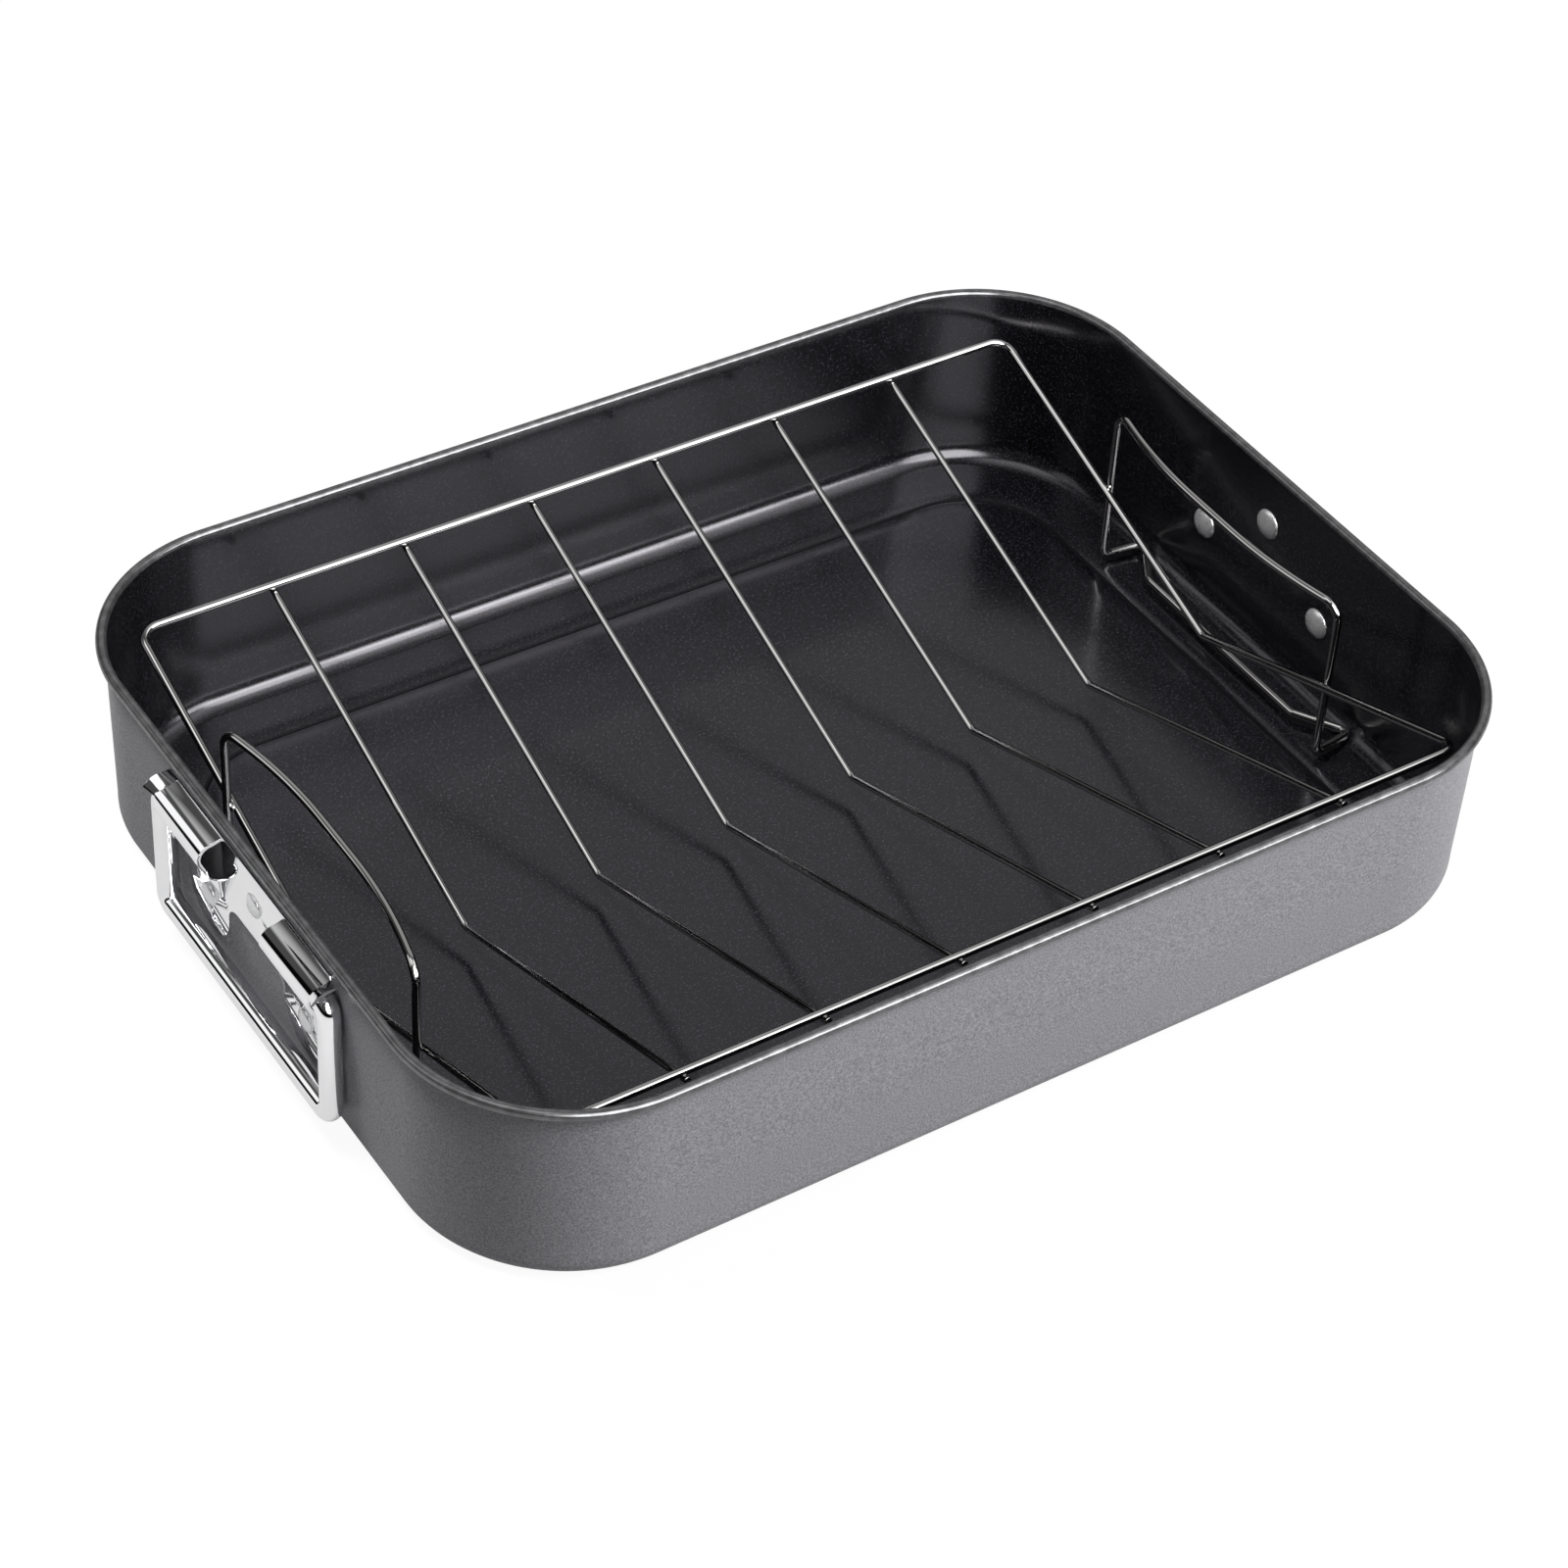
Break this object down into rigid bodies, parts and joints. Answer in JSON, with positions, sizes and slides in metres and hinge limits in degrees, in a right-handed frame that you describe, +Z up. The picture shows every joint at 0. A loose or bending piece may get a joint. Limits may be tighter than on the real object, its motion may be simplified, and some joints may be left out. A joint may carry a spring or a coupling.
{
  "type": "roasting pan",
  "caption": "Rectangular roasting pan with rounded corners and a rolled rim, riveted end brackets with drop bail handles, and a lift-out V-shaped wire rack.",
  "frame": {"origin": "centre of the pan's flat underside, on the surface that it stands on", "axes": "+X along the pan to the right-hand handle, +Y across it to the back, +Z up out of the pan"},
  "size_m": [0.4212, 0.307, 0.076],
  "materials": {
    "nonstick_steel": "satin",
    "chrome_plate": "polished",
    "rivet_aluminium": "polished",
    "rack_wire": "polished"
  },
  "bodies": {
    "pan_body": {"pan": "nonstick_steel", "left_bracket": "chrome_plate", "right_bracket": "chrome_plate", "left_rivet_back": "rivet_aluminium", "left_rivet_centre": "rivet_aluminium", "left_rivet_front": "rivet_aluminium", "right_rivet_back": "rivet_aluminium", "right_rivet_centre": "rivet_aluminium", "right_rivet_front": "rivet_aluminium"},
    "left_handle": {"left_bail": "chrome_plate"},
    "right_handle": {"right_bail": "chrome_plate"},
    "rack": {"rack_frame": "rack_wire", "rack_rib_1": "rack_wire", "rack_rib_2": "rack_wire", "rack_rib_3": "rack_wire", "rack_rib_4": "rack_wire", "rack_rib_5": "rack_wire", "rack_rib_6": "rack_wire", "rack_end_left": "rack_wire", "rack_end_right": "rack_wire"}
  },
  "joints": [
    {"name": "left_bail_hinge", "type": "hinge", "parent": "pan_body", "child": "left_handle", "pos_m": [-0.2043, 0, 0.05934], "axis": [0, 1, 0], "range_deg": [0, 80]},
    {"name": "right_bail_hinge", "type": "hinge", "parent": "pan_body", "child": "right_handle", "pos_m": [0.2043, 0, 0.05934], "axis": [0, -1, 0], "range_deg": [0, 80]},
    {"name": "rack_lift", "type": "slide", "parent": "pan_body", "child": "rack", "axis": [0, 0, 1], "range_m": [0, 0.12]}
  ]
}
